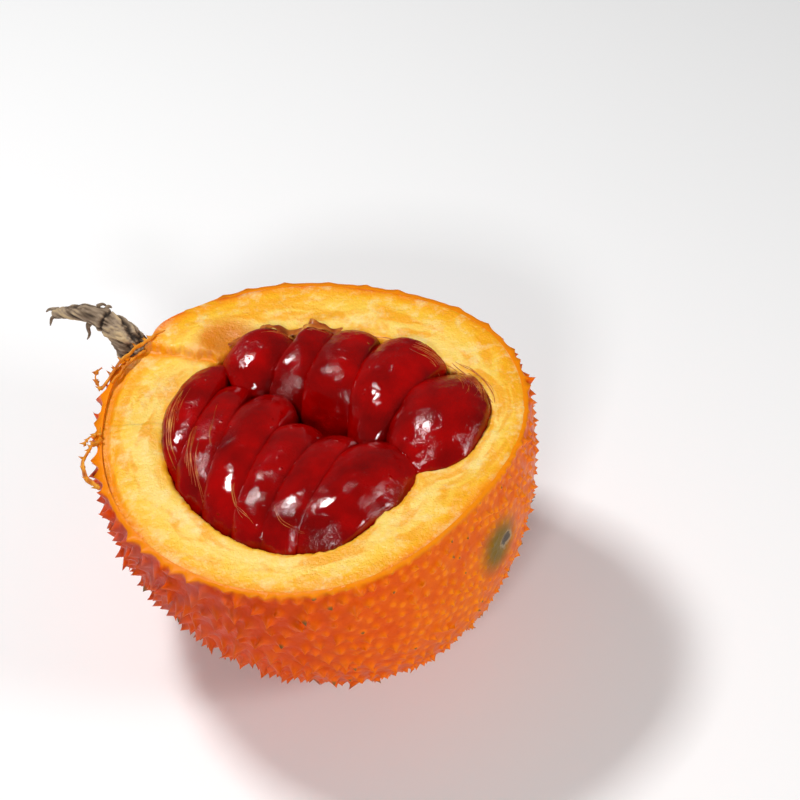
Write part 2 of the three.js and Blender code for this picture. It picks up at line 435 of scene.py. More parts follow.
def makeRind(material):
    pick = np.random.default_rng(rind["seed"] + 1)
    seedTurn, seedPolar, spacing = spikeSeeds()
    count = len(spacing)
    seedOut = directions(seedTurn, seedPolar)
    seedPlace = seedOut * skinRadius(seedTurn, np.minimum(seedPolar, rimPolar(seedTurn)))[:, None]
    scarPlace = np.array(scarDirection) * 54.0
    fromScar = np.linalg.norm(seedPlace - scarPlace, axis=1)
    share = np.interp(spacing, (2.6, 4.2), rind["heightShare"])
    evenness = np.interp(spacing, (2.6, 4.2), (0.15, 0.75))
    height = spacing * share * pick.uniform(evenness, 1.2, count)
    height *= 0.12 + 0.88 * smoothStep(rind["bareScar"] * 0.7, rind["bareScar"] * 2.6, fromScar)
    foot = spacing * rind["footShare"] * np.interp(spacing, (2.4, 4.0), (0.72, 1.0))
    nearCut = smoothStep(0.16, 0.02, rimPolar(seedTurn) - seedPolar)
    behind = smoothStep(0.1, 0.75, seedOut[:, 1])
    height *= 1.0 - rind["nearCutLoss"] * nearCut * behind
    lean = pick.normal(0, rind["lean"], (count, 3))
    lean -= np.sum(lean * seedOut, 1)[:, None] * seedOut
    mark = pick.uniform(0, 1, count)

    # points: the rim, each spike's tip and rings, then the skin between
    rimTurn = np.linspace(0, 2 * math.pi, rind["rimSteps"], endpoint=False)
    turns, polars = [rimTurn], [rimPolar(rimTurn)]
    sideA = np.cross(seedOut, np.array(cutNormal))
    sideA /= np.linalg.norm(sideA, axis=1)[:, None]
    sideB = np.cross(seedOut, sideA)
    for share, points in rind["rings"]:
        for k in range(points):
            angle = 2 * math.pi * (k / points + share) + mark * 6
            step = foot * share * pick.uniform(0.85, 1.15, count)
            place = seedPlace + sideA * (np.cos(angle) * step)[:, None] \
                + sideB * (np.sin(angle) * step)[:, None]
            out = place / np.linalg.norm(place, axis=1)[:, None]
            turn, polar = toTurnPolar(out)
            turns.append(turn)
            polars.append(polar)
    tree = KDTree(count)
    for i, place in enumerate(seedPlace):
        tree.insert(place, i)
    tree.balance()
    total = int(21700 / rind["fillSpacing"] ** 2)
    golden = math.pi * (3 - math.sqrt(5))
    steps = np.arange(total) + 0.5
    fillPolar = np.arccos(1 - 1.125 * steps / total)
    fillTurn = (steps * golden) % (2 * math.pi)
    fillOut = directions(fillTurn, fillPolar)
    found = [tree.find(Vector(o * 55.0)) for o in fillOut]
    fillKeep = np.array([gap > foot[nearest] * 0.85 for _, nearest, gap in found])
    turns.append(fillTurn[fillKeep])
    polars.append(fillPolar[fillKeep])
    turn, polar = np.concatenate(turns), np.concatenate(polars)
    isRim = np.arange(len(turn)) < rind["rimSteps"]
    inside = isRim | (polar < rimPolar(turn) - 0.006)
    turn, polar, isRim = turn[inside], polar[inside], isRim[inside]

    flat = np.tan(polar / 2)
    flatPoints = [Vector((x, y)) for x, y in zip(flat * np.cos(turn), flat * np.sin(turn))]
    rimCount = rind["rimSteps"]
    loop = [(i, (i + 1) % rimCount) for i in range(rimCount)]
    result = delaunay_2d_cdt(flatPoints, loop, [], 1, 1e-9)
    order = [ids[0] for ids in result[3]]
    turn, polar, isRim = turn[order], polar[order], isRim[order]
    triangles = [tuple(f) for f in result[2]]

    # raise the spikes
    out = directions(turn, polar)
    base = out * skinRadius(turn, polar)[:, None]
    rise = np.zeros(len(base))
    spike = np.zeros(len(base))
    marks = np.zeros(len(base))
    push = np.zeros_like(base)
    for i, place in enumerate(base):
        for _, j, gap in tree.find_n(Vector(place), 4):
            share = gap / foot[j]
            if share < 1.0:
                tall = height[j] * (1.0 - share) ** rind["sharpness"]
                if tall > rise[i]:
                    rise[i] = tall
                    spike[i] = tall / height[j]
                    push[i] = lean[j] * height[j] * spike[i] ** 1.5
                    marks[i] = mark[j]
    swell = sum(fractal(base * mm, size, 2, seed + 1.0) * tall
                for seed, (size, tall) in enumerate(rind["swell"]))
    edge = smoothStep(0.0, 0.05, rimPolar(turn) - polar)
    place = base + out * (rise * mix(0.65, 1.0, edge) + swell * edge)[:, None] + push * edge[:, None]
    scarGap = np.linalg.norm(base - scarPlace, axis=1)
    dent, wide = rind["scarDent"]
    place -= out * (dent * np.exp(-(scarGap / wide) ** 2))[:, None]
    aboveCut = place @ np.array(cutNormal) - fruit["cutAboveMiddle"]
    place -= np.outer(np.where(isRim, aboveCut, np.maximum(aboveCut, 0.0)), cutNormal)     # flat rim

    # the cut edge of the skin, then its hidden inner side down to the pole
    rimOrder = np.argsort(turn[isRim])
    rimIds = np.flatnonzero(isRim)[rimOrder]
    points = [middle + Vector(p) * mm for p in place]
    faces = list(triangles)
    previous = list(rimIds)
    for ring in range(rind["innerRings"] + 1):
        share = 1.0 - ring / (rind["innerRings"] + 0.6)
        ringPolar = rimPolar(rimTurn) * share
        radius = skinRadius(rimTurn, ringPolar) - fruit["skinThickness"]
        if ring == 0:
            reach = roundTable(rimTable, rimTurn) - fruit["skinThickness"] - rind["edgeGap"]
            ringPoints = [onCut(r * math.cos(t), r * math.sin(t), 0.03) for r, t in zip(reach, rimTurn)]
            edgeRing = (len(points), len(points) + rimCount)
        else:
            ringPoints = [middle + Vector(d) * r * mm
                          for d, r in zip(directions(rimTurn, ringPolar), radius)]
        first = len(points)
        points.extend(ringPoints)
        current = list(range(first, first + rimCount))
        for k in range(rimCount):
            n = (k + 1) % rimCount
            faces.append((previous[k], previous[n], current[n], current[k]))
        previous = current
    points.append(middle - cutNormal * (skinRadius(np.array([0.0]), np.array([0.0]))[0]
                                        - fruit["skinThickness"]) * mm)
    for k in range(rimCount):
        faces.append((previous[k], previous[(k + 1) % rimCount], len(points) - 1))
    floor = 0.05 * mm
    for point in points:
        if point.z < floor:
            point.z = floor
    piece = meshPiece("rind", points, faces, material)
    extra = len(points) - len(spike)
    storeValues(piece, "spike", np.concatenate([spike, np.zeros(extra)]))
    storeValues(piece, "mark", np.concatenate([marks, np.zeros(extra)]))
    cutEdge = smoothStep(0.018, 0.002, rimPolar(turn) - polar)
    storeValues(piece, "cutEdge", np.concatenate([cutEdge, np.ones(rimCount), np.zeros(extra - rimCount)]))
    outwardNormals(piece)
    sharpenRing(piece, *edgeRing)
    print("rind:", count, "spikes,", len(piece.data.polygons), "faces")
    return piece


def rindMaterial():
    # ripe gac skin: thin waxy cuticle over orange flesh, satin with a faint bloom; orange-yellow at
    # the blossom end, redder and dusty pink on the far side, with painted shade in the hollows between the
    # spikes and a painted highlight that makes each spike's point paler
    material, tree, shader, place = newMaterial("waxyGacSkin", {
        "IOR": 1.42, "Specular IOR Level": 0.14, "Subsurface Weight": 0.1,
        "Subsurface Radius": (1.0, 0.35, 0.05), "Subsurface Scale": 0.0015})
    spike = attributeValue(tree, "spike")
    scar = middle + scarDirection * 53 * mm
    centres = (middle + blossomDirection * 55 * mm, scar, scar + Vector((-1.9, -2.8, 1.2)) * mm)
    toBlossom, toScar, toHalo = [
        addNode(tree, "ShaderNodeVectorMath", {0: place, 1: tuple(centre)},
                operation="DISTANCE").outputs["Value"]
        for centre in centres]
    # blotches 7 mm across, freckles 2, dust 8, scuffs 14, the scar's ragged edge 2, folds 1.4, pores 0.5
    blotch, freckle, dust, scuff, ragged, folds, pores = [
        addNode(tree, "ShaderNodeTexNoise", {"Vector": place, "Scale": scale, "Detail": detail,
                                             "Roughness": rough, "Distortion": twist}).outputs["Fac"]
        for scale, detail, rough, twist in (
            (140.0, 3.0, 0.5, 0.0), (480.0, 3.0, 0.6, 0.0), (120.0, 4.0, 0.6, 0.0), (70.0, 5.0, 0.65, 0.6),
            (500.0, 3.0, 0.5, 0.0), (700.0, 3.0, 0.5, 0.0), (2200.0, 2.0, 0.5, 0.0))]
    scarGap = addNode(tree, "ShaderNodeMath", {0: ragged, 1: 0.003, 2: toScar},
                      operation="MULTIPLY_ADD").outputs[0]
    height = addNode(tree, "ShaderNodeSeparateXYZ", {0: place}).outputs["Z"]
    (farSide, redder, tipHighlight, freckled, dustSide, dusty, scuffed, low, dryTop, ring, dot, gloss) = [
        addNode(tree, "ShaderNodeMapRange", {"Value": value, "From Min": start, "From Max": end,
                                             "To Min": least, "To Max": most}).outputs[0]
        for value, start, end, least, most in (
            (toBlossom, 0.012, 0.095, 0.0, 1.0), (blotch, 0.45, 0.7, 0.0, 0.4),
            (spike, 0.5, 0.95, 0.0, 0.22), (freckle, 0.5, 0.66, 0.0, 0.35),
            (toBlossom, 0.060, 0.085, 0.0, 1.0), (dust, 0.46, 0.62, 0.0, 0.6),
            (scuff, 0.53, 0.61, 0.0, 0.7), (height, 0.034, 0.022, 0.0, 1.0),
            (spike, 0.5, 0.75, 0.0, 1.0), (scarGap, 0.0044, 0.0039, 0.0, 0.7),
            (scarGap, 0.0037, 0.0033, 0.0, 1.0), (dust, 0.3, 0.7, 0.26, 0.44))]
    halo = addNode(tree, "ShaderNodeMapRange", {"Value": toHalo, "From Min": 0.0105, "From Max": 0.003,
                                                "To Max": 0.95}, interpolation_type="SMOOTHSTEP")
    dryTip = addNode(tree, "ShaderNodeMath", {0: attributeValue(tree, "mark"), 1: 0.92},
                     operation="GREATER_THAN").outputs[0]
    dustShare, scuffShare, dryShare = [
        addNode(tree, "ShaderNodeMath", {0: first, 1: second}, operation="MULTIPLY").outputs[0]
        for first, second in ((dustSide, dusty), (scuffed, low), (dryTip, dryTop))]
    ground = setRamp(addNode(tree, "ShaderNodeValToRGB", {"Fac": farSide}),
                     [(0.0, "#fa8d02"), (0.3, "#f87a00"), (0.6, "#e85c02"), (1.0, "#d04408")])
    # painted shade: the skin's colour is multiplied darker in the hollows round each spike's foot
    between = setRamp(addNode(tree, "ShaderNodeValToRGB", {"Fac": spike}),
                      [(0.0, "#ecc098"), (0.15, "#f6dcc0"), (0.4, "#ffffff"), (1.0, "#ffffff")])
    base = layColours(tree, ground.outputs["Color"], [(redder, "#e44c01")])
    shaded = addNode(tree, "ShaderNodeMix", {"Factor": 1.0, "A": base, "B": between.outputs["Color"]},
                     data_type="RGBA", blend_type="MULTIPLY").outputs["Result"]
    finished = layColours(tree, shaded, [
        # painted highlight: each spike's point painted paler orange
        (tipHighlight, "#f98a2c"),
        (freckled, "#cf3a02"),           # small redder freckles
        (dustShare, "#b9605a"),          # dusty pink bloom away from the blossom end
        (scuffShare, "#8d5a38"),         # grey-brown scuffs low down, where the fruit lay
        (dryShare, "#7f5c32"),           # one tip in twelve is dry and brown
        (halo.outputs[0], "#6f5c0c"),    # the blossom scar: an olive halo, a pale ring, a dry dot
        (ring, "#b39a7c"),
        (dot, "#574a3e"),
        (attributeValue(tree, "cutEdge"), "#f58a0c")])     # the skin's own thickness at the cut
    tree.links.new(finished, shader.inputs["Base Color"])
    tree.links.new(gloss, shader.inputs["Roughness"])
    tree.links.new(layBumps(tree, [(folds, 0.35, 0.0006), (pores, 0.25, 0.0002)]), shader.inputs["Normal"])
    return material


rindPiece = makeRind(rindMaterial())
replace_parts(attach(rindPiece, "root"), "husk")

# flesh: the knife-cut face, the wall of the seed cavity and the hidden side against the skin

flesh = {
    "steps": 720,                # round the face
    "faceRows": 46,
    "wallRows": 16,
    "hiddenRings": 6,
    "rimDrop": 0.05,             # mm
    "lipRadius": 1.6,            # mm of rounding where the face turns down into the cavity
    "ledge": ((-56, 38), (-45, 34), (-37, 31.7), (-27.5, 28.5), (-22, 27)),   # mm, a knife step
    "ledgeRise": 1.7,
    "dents": (                   # mm high, then x, y and the spread along each
        (-0.7, -52.3, -6.0, 1.1, 9.5),
        (-0.6, 2.4, 42.2, 3.0, 2.2),
        (-0.9, -25.0, 34.0, 5.0, 4.0),
        (1.2, 14.5, -30.0, 3.0, 2.5),
    ),
    "lips": ((3.6, 296.5, 2.2), (1.8, 322.5, 4.0)),      # mm into the cavity, at degrees, spread
    "raggedness": 0.35,          # mm
    "leftBand": {                # where the band fades: shares of the way to the skin, then mm
        "inner": (0.80, 0.90),
        "outer": (1.0, 0.96),
        "x": (-36, -48),
        "farY": (34, 22),
        "nearY": (-32, -14),
    },
    "wallDrop": 0.9,             # mm, the wall starts this far under the face
}


def ledgeHeight(x, y):           # the knife left a step near the stem, higher on the far side
    edge = np.interp(x, *zip(*flesh["ledge"]))
    fade = smoothStep(-16, -30, x)
    wander = 0.7 * np.sin(x * 0.9) + 0.4 * np.sin(x * 2.3 + 1)
    back = smoothStep(26, 6, y - edge)
    return flesh["ledgeRise"] * smoothStep(-0.5, 0.7, y - edge + wander) * fade * back


def ledgeFoot(x, y):             # the strip at the step's foot: a shallow groove, painted darker orange in the flesh as painted shade
    edge = np.interp(x, *zip(*flesh["ledge"]))
    wide = 1.6 + 0.6 * np.sin(x * 0.7)
    return np.exp(-((y - edge + 0.6) / wide) ** 2) * smoothStep(-20, -28, x) * smoothStep(-54, -50, x)


def leftBand(x, y, share):       # the hollow under the skin on the stem side, painted orange in the flesh as painted shade
    reach = flesh["leftBand"]
    band = smoothStep(*reach["inner"], share) * smoothStep(*reach["outer"], share)
    return band * smoothStep(*reach["x"], x) * smoothStep(*reach["farY"], y) * smoothStep(*reach["nearY"], y)


def faceHeight(x, y, share):
    points = [Vector((a, b, 0.0)) * mm for a, b in zip(x, y)]
    height = fractal(points, 16.0, 2, 3.0) * 0.4 + fractal(points, 3.0, 3, 4.0) * 0.12
    height *= smoothStep(1.0, 0.9, share)
    height += ledgeHeight(x, y)
    height -= 1.1 * leftBand(x, y, share) + 0.6 * ledgeFoot(x, y)
    height -= flesh["rimDrop"] * smoothStep(0.9, 1.0, share)
    height += 0.5 * smoothStep(6.9, 6.2, y + 0.06 * (x + 46)) * smoothStep(-38, -43, x) \
        * smoothStep(-8, 4, y)
    for tall, atX, atY, wideX, wideY in flesh["dents"]:
        height += tall * np.exp(-((x - atX) / wideX) ** 2 - ((y - atY) / wideY) ** 2)
    return height


def makeFlesh(material):
    turn = np.linspace(0, 2 * math.pi, flesh["steps"], endpoint=False)
    inner = roundTable(cavityTable, turn)
    for reach, at, spread in flesh["lips"]:
        inner = inner - reach * np.exp(-((np.degrees(turn) - at) / spread) ** 2)
    ring = [Vector((math.cos(t), math.sin(t), 0)) * 0.06 for t in turn]
    inner = inner + fractal(ring, 3.0, 3, 6.0) * flesh["raggedness"]
    outer = roundTable(rimTable, turn) - fruit["skinThickness"] + 0.3
    rows, values, orange = [], [], []
    depth = fruit["cavityDepth"]
    for row in range(flesh["wallRows"], 0, -1):      # up the cavity wall from near its pole
        down = (row / flesh["wallRows"]) ** 1.3 * 0.995
        section = (1 - down ** fruit["cavityRoundness"]) ** (1 / fruit["cavityRoundness"])
        x, y = inner * section * np.cos(turn), inner * section * np.sin(turn)
        z = np.full(len(turn), -depth * down - flesh["wallDrop"])
        rows.append((x, y, z))
        values.append(np.full(len(turn), -down))
        orange.append(np.zeros(len(turn)))
    for row in range(flesh["faceRows"] + 1):         # across the cut face from cavity to skin
        share = row / flesh["faceRows"]
        share -= 0.12 * math.sin(share * 2 * math.pi) / (2 * math.pi)
        reach = mix(inner + 0.1, outer, share)
        x, y = reach * np.cos(turn), reach * np.sin(turn)
        z = faceHeight(x, y, np.full(len(turn), share))
        near = (reach - inner) / flesh["lipRadius"]
        z -= flesh["wallDrop"] * np.clip(1 - near, 0, 1) ** 2.2
        rows.append((x, y, z))
        values.append(np.full(len(turn), share))
        # painted shade at the step's foot and in the stem side's hollow, kept for the flesh material
        orange.append(np.maximum(ledgeFoot(x, y), leftBand(x, y, share)))
    points, faces = [], []
    for x, y, z in rows:
        points.extend(onCut(a, b, c) for a, b, c in zip(x, y, z))
    share = list(np.concatenate(values))
    for ring in range(1, flesh["hiddenRings"] + 1):  # under the skin to the lowest point
        polar = rimPolar(turn) * (1 - ring / (flesh["hiddenRings"] + 0.5))
        radius = skinRadius(turn, polar) - fruit["skinThickness"] - 0.1
        points.extend(middle + Vector(d) * r * mm for d, r in zip(directions(turn, polar), radius))
        share.extend([1.0] * len(turn))
    steps = flesh["steps"]
    ringCount = len(points) // steps
    for ring in range(ringCount - 1):
        faces.extend(bandFaces(ring * steps, (ring + 1) * steps, steps))
    points.append(onCut(0, 0, -depth - flesh["wallDrop"]))
    points.append(middle - cutNormal * (skinDistances[0, 0] - fruit["skinThickness"] - 0.1) * mm)
    share.extend([-1.0, 1.0])
    last = (ringCount - 1) * steps
    for k in range(steps):
        n = (k + 1) % steps
        faces.append((n, k, len(points) - 2))
        faces.append((last + k, last + n, len(points) - 1))
    piece = meshPiece("flesh", points, faces, material)
    storeValues(piece, "across", share)
    orange = np.concatenate(orange)
    storeValues(piece, "orange", np.concatenate([orange, np.zeros(len(points) - len(orange))]))
    turns = np.concatenate([np.tile(turn, ringCount), [0.0, 0.0]])
    storeValues(piece, "roundX", np.cos(turns))
    storeValues(piece, "roundY", np.sin(turns))
    outwardNormals(piece)
    outerRow = (flesh["wallRows"] + flesh["faceRows"]) * steps
    sharpenRing(piece, outerRow, outerRow + steps)
    print("flesh:", len(piece.data.polygons), "faces")
    return piece


def fleshMaterial():
    # knife-cut gac flesh: moist, slightly translucent mesocarp, orange against the skin, golden inside
    # it and cream towards the cavity, with a fine juicy grain and darker yellow bruises
    material, tree, shader, place = newMaterial("moistCutFlesh", {
        "IOR": 1.38, "Subsurface Weight": 0.3, "Subsurface Radius": (1.0, 0.55, 0.15),
        "Subsurface Scale": 0.003})
    across = attributeValue(tree, "across")
    ringPlace = addNode(tree, "ShaderNodeCombineXYZ", {"X": attributeValue(tree, "roundX"),
                                                       "Y": attributeValue(tree, "roundY"), "Z": across})
    # patches 11 mm across, bruises that run round the cut, cream mottle 5 mm, cells 2.4, grain 0.7
    wander, bruise, pale, cells, grain = [
        addNode(tree, "ShaderNodeTexNoise", {"Vector": vector, "Scale": scale, "Detail": detail,
                                             "Roughness": rough, "Distortion": twist}).outputs["Fac"]
        for vector, scale, detail, rough, twist in (
            (place, 90.0, 4.0, 0.6, 0.0), (ringPlace.outputs[0], 3.6, 4.0, 0.5, 0.7),
            (place, 190.0, 5.0, 0.7, 0.0), (place, 420.0, 4.0, 0.65, 0.0), (place, 1500.0, 3.0, 0.5, 0.0))]
    shifted = addNode(tree, "ShaderNodeMath", {0: wander, 1: 0.16, 2: across}, operation="MULTIPLY_ADD")
    centred = addNode(tree, "ShaderNodeMath", {0: shifted.outputs[0], 1: 0.08}, operation="SUBTRACT")
    ramp = setRamp(addNode(tree, "ShaderNodeValToRGB", {"Fac": centred.outputs[0]}),
                   [(0.0, "#f0a824"), (0.06, "#fec648"), (0.28, "#ffd66e"), (0.58, "#ffca46"),
                    (0.80, "#ffb81e"), (0.93, "#fc9808"), (1.0, "#ea6a02")])
    # painted shade: a darker orange patch in the flesh's hollow behind the first far aril
    arilHollowShadeSpot = addNode(tree, "ShaderNodeVectorMath", {0: place, 1: tuple(onCut(-25.0, 34.0))},
                       operation="DISTANCE")
    arilHollowShadeGap = addNode(tree, "ShaderNodeMath", {0: wander, 1: 0.008, 2: arilHollowShadeSpot.outputs["Value"]},
                      operation="MULTIPLY_ADD")
    bruised, paled, arilHollowShade, orangeEdge, gloss = [
        addNode(tree, "ShaderNodeMapRange", {"Value": value, "From Min": start, "From Max": end,
                                             "To Min": least, "To Max": most}).outputs[0]
        for value, start, end, least, most in (
            (bruise, 0.48, 0.60, 0.0, 0.85), (pale, 0.5, 0.72, 0.0, 0.75),
            (arilHollowShadeGap.outputs[0], 0.0135, 0.0085, 0.0, 0.9), (pale, 0.3, 0.7, 1.1, 0.6),
            (pale, 0.35, 0.65, 0.30, 0.52))]
    paintedOrangeShade = addNode(tree, "ShaderNodeMath", {0: attributeValue(tree, "orange"), 1: orangeEdge},
                          operation="MULTIPLY", use_clamp=True)
    finished = layColours(tree, ramp.outputs["Color"], [
        (bruised, "#f8a812"),
        (paled, "#fee3a2"),
        (arilHollowShade, "#dc7c0c"),               # painted shade: deep orange in the hollow behind the first far aril
        (paintedOrangeShade.outputs[0], "#ec9008")])      # painted shade: the step's foot and the stem side's hollow band
    tree.links.new(finished, shader.inputs["Base Color"])
    tree.links.new(gloss, shader.inputs["Roughness"])
    tree.links.new(layBumps(tree, [(cells, 0.5, 0.0007), (grain, 0.45, 0.0003)]), shader.inputs["Normal"])
    return material


fleshPiece = makeFlesh(fleshMaterial())
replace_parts(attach(fleshPiece, "root"), "husk")

# arils: plump wet pulp round each seed, pressed against its neighbours

aril = {
    "voxel": 0.65,               # mm
    "smoothSteps": 22,
    "swell": 0.75,               # mm, makes up for the smoothing and closes the creases
    "lobeSize": 9.0,
    "lobeRise": 0.3,
    "wrinkleSize": 1.9,
    "wrinkleRise": 0.20,
    "wallPush": 0.9,             # mm, how far the pulp bulges over the edge of the cavity
    "press": 0.36,               # how far neighbours press each other's shoulders up level
    "pressWall": 0.75,           # the same beside the near wall, where they run together
    "gridStep": 1.0,             # mm
    "hollowDepth": 13.0,         # mm, the dark gap between the two rows
    "hollowPlace": (-1.0, 2.5),  # mm on the cut face
    "hollowSlant": 0.75,
    "hollowSpread": (10.5, 6.5),     # mm, along and across the slant
    "gridHalf": 55,              # mm
    "gridFloor": -12.0,          # mm, the surface where there is no aril
    "gridSmoothing": 14,
}


def applyModifier(piece, kind, **settings):
    modifier = piece.modifiers.new(kind.lower(), kind)
    for name, value in settings.items():
        setattr(modifier, name, value)
    makeActive(piece)
    bpy.ops.object.modifier_apply(modifier=modifier.name)


def copyOfNode(node, name):
    source = frame["nodes"][node]
    piece = bpy.data.objects.new(name, source.data.copy())
    scene.collection.objects.link(piece)
    makeActive(piece)
    bpy.ops.object.mode_set(mode="EDIT")
    bpy.ops.mesh.select_all(action="SELECT")
    bpy.ops.mesh.remove_doubles(threshold=0.00002)
    bpy.ops.object.mode_set(mode="OBJECT")
    return piece


def meshArrays(piece):
    count = len(piece.data.vertices)
    places, normals = np.empty(count * 3), np.empty(count * 3)
    piece.data.vertices.foreach_get("co", places)
    piece.data.vertices.foreach_get("normal", normals)
    return places.reshape(-1, 3), normals.reshape(-1, 3)


def setPlaces(piece, places):
    piece.data.vertices.foreach_set("co", places.ravel())
    piece.data.update()


def pressedSurface():            # the height of all the arils together, smoothed over their creases
    step = aril["gridStep"]
    half, low = aril["gridHalf"], aril["gridFloor"]
    size = int(2 * half / step)
    tops = np.full((size, size), low)
    for node in arilNodes:
        mesh = frame["nodes"][node].data
        tree = BVHTree.FromPolygons([v.co.copy() for v in mesh.vertices],
                                    [tuple(f.vertices) for f in mesh.polygons])
        for row in range(size):
            for column in range(size):
                start = onCut(column * step - half, row * step - half, 30)
                hit = tree.ray_cast(start, -cutNormal, 0.042)[0]
                if hit:
                    tops[row, column] = max(tops[row, column], (hit - cutCentre).dot(cutNormal) / mm)
    for _ in range(3):
        grown = np.maximum.reduce([np.roll(tops, s, a) for s in (-1, 0, 1) for a in (0, 1)])
        tops = np.where(tops > low + 0.1, np.maximum(tops, grown - 0.35), grown - 1.2)
    for _ in range(aril["gridSmoothing"]):
        for a in (0, 1):
            tops = (np.roll(tops, 1, a) + 2 * tops + np.roll(tops, -1, a)) / 4
    return tops


def sampleSurface(tops, x, y):
    column, row = [np.clip((v + aril["gridHalf"]) / aril["gridStep"], 0, len(tops) - 1.001) for v in (x, y)]
    c, r = column.astype(int), row.astype(int)
    u, v = column - c, row - r
    return mix(mix(tops[r, c], tops[r, c + 1], u), mix(tops[r + 1, c], tops[r + 1, c + 1], u), v)


def makeAril(node, number, material, tops):
    piece = copyOfNode(node, node.replace("aril", "seed"))
    applyModifier(piece, "REMESH", mode="VOXEL", voxel_size=aril["voxel"] * mm, use_smooth_shade=True)
    applyModifier(piece, "SMOOTH", factor=0.5, iterations=aril["smoothSteps"])
    places, normals = meshArrays(piece)
    above = (places - np.array(cutCentre)) @ np.array(cutNormal) / mm
    showing = smoothStep(-12, -3, above)
    lobes = fractal(places, aril["lobeSize"], 2, number) * aril["lobeRise"]
    creased = 1.0 - np.abs(fractal(places, aril["wrinkleSize"], 2, number + 20))
    patch = smoothStep(-0.1, 0.35, fractal(places, 11.0, 1, number + 40))
    wrinkles = creased ** 3 * aril["wrinkleRise"] * patch
    places += normals * ((aril["swell"] * showing + lobes * showing + wrinkles) * mm)[:, None]
    fromCentre = places - np.array(cutCentre)
    x, y = fromCentre @ np.array(cutX) / mm, fromCentre @ np.array(cutY) / mm
    z = fromCentre @ np.array(cutNormal) / mm
    gap = np.clip(sampleSurface(tops, x, y) - z, -2.0, 5.0)
    reach = np.hypot(x, y) / roundTable(cavityTable, np.arctan2(y, x))     # 1 at the cavity's wall
    nearWall = smoothStep(0.62, 0.95, reach)
    press = mix(aril["press"], aril["pressWall"], nearWall * smoothStep(-5, -20, y))
    hollowX, hollowY = x - aril["hollowPlace"][0], y - aril["hollowPlace"][1]
    slant = aril["hollowSlant"]
    long, wide = aril["hollowSpread"]
    acrossGap = (hollowY + slant * hollowX) * 0.8
    alongGap = (hollowX - slant * hollowY) * 0.8
    nearHollow = np.exp(-(alongGap / long) ** 2 - (acrossGap / wide) ** 2)
    rise = gap * press * smoothStep(-9, -1, z) * (1 - 0.8 * nearHollow)
    if "upper" in node:
        rise -= aril["hollowDepth"] * nearHollow * smoothStep(-16, -3, z)
    wall = smoothStep(0.80, 1.0, reach) * smoothStep(-9, -2, z)
    rise -= 1.3 * wall * smoothStep(-4, -14, y)
    wall *= smoothStep(0, 10, y)
    rise += wall * aril["wallPush"]
    outward = np.outer(x, cutX) + np.outer(y, cutY)
    outward /= np.maximum(np.linalg.norm(outward, axis=1), 1.0)[:, None]
    places += np.outer(rise * mm, cutNormal) + outward * (wall * aril["wallPush"] * mm)[:, None]
    setPlaces(piece, places)
    dressPiece(piece, material)
    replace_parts(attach(piece, "root"), node)
    return piece


def arilMaterial():
    # ripe aril pulp: oily wet gel skin, deep blood red and slightly translucent, a mirror-like film
    # over fine wrinkles that break the highlights up
    material, tree, shader, place = newMaterial("wetArilPulp", {
        "Roughness": 0.4, "Specular IOR Level": 0.0, "IOR": 1.4, "Coat Weight": 0.85,
        "Coat Roughness": 0.05, "Coat IOR": 1.5, "Subsurface Weight": 0.2,
        "Subsurface Radius": (1.0, 0.05, 0.03), "Subsurface Scale": 0.0025})
    # mottle 9 mm across, wrinkles 2 mm, and the patches 8 mm across where they show
    mottle, wrinkles, patches = [
        addNode(tree, "ShaderNodeTexNoise", {"Vector": place, "Scale": scale, "Detail": detail,
                                             "Roughness": rough, "Distortion": twist}).outputs["Fac"]
        for scale, detail, rough, twist in (
            (110.0, 3.0, 0.5, 0.0), (520.0, 5.0, 0.62, 1.2), (130.0, 2.0, 0.5, 0.0))]
    red = setRamp(addNode(tree, "ShaderNodeValToRGB", {"Fac": mottle}),
                  [(0.3, "#740000"), (0.5, "#900000"), (0.72, "#ac0000")])
    tree.links.new(red.outputs["Color"], shader.inputs["Base Color"])
    beads = addNode(tree, "ShaderNodeTexVoronoi", {"Vector": place, "Scale": 420.0})   # juice, 0.4 mm
    wrinkled, beadRise, beadPatch = [
        addNode(tree, "ShaderNodeMapRange", {"Value": value, "From Min": start, "From Max": end,
                                             "To Min": least, "To Max": 1.0}).outputs[0]
        for value, start, end, least in (
            (patches, 0.42, 0.62, 0.1), (beads.outputs["Distance"], 0.22, 0.05, 0.0),
            (mottle, 0.52, 0.60, 0.0))]
    wrinkleHeight, beadHeight = [
        addNode(tree, "ShaderNodeMath", {0: first, 1: second}, operation="MULTIPLY").outputs[0]
        for first, second in ((wrinkles, wrinkled), (beadRise, beadPatch))]
    relief = layBumps(tree, [(wrinkleHeight, 0.5, 0.0006), (beadHeight, 0.8, 0.0003)])
    tree.links.new(relief, shader.inputs["Normal"])
    tree.links.new(relief, shader.inputs["Coat Normal"])
    return material


arilPulp = arilMaterial()
arilNodes = sorted(n for n in frame["nodes"] if n.startswith("aril_"))
pressed = pressedSurface()
arilPieces = [makeAril(node, number, arilPulp, pressed) for number, node in enumerate(arilNodes)]
print("arils:", len(arilPieces), "pieces,", sum(len(p.data.polygons) for p in arilPieces), "faces")

# fibres, films and loose skin, swept along paths that lie on what is under them

def smoothPath(points, count):
    points = np.array(points, float)
    n = len(points)
    result = []
    for t in np.linspace(0, n - 1.0001, count):
        i = int(t)
        p0, p1 = points[max(i - 1, 0)], points[i]
        p2, p3 = points[min(i + 1, n - 1)], points[min(i + 2, n - 1)]
        result.append(curveThrough(p0, p1, p2, p3, t - i))
    return np.array(result)


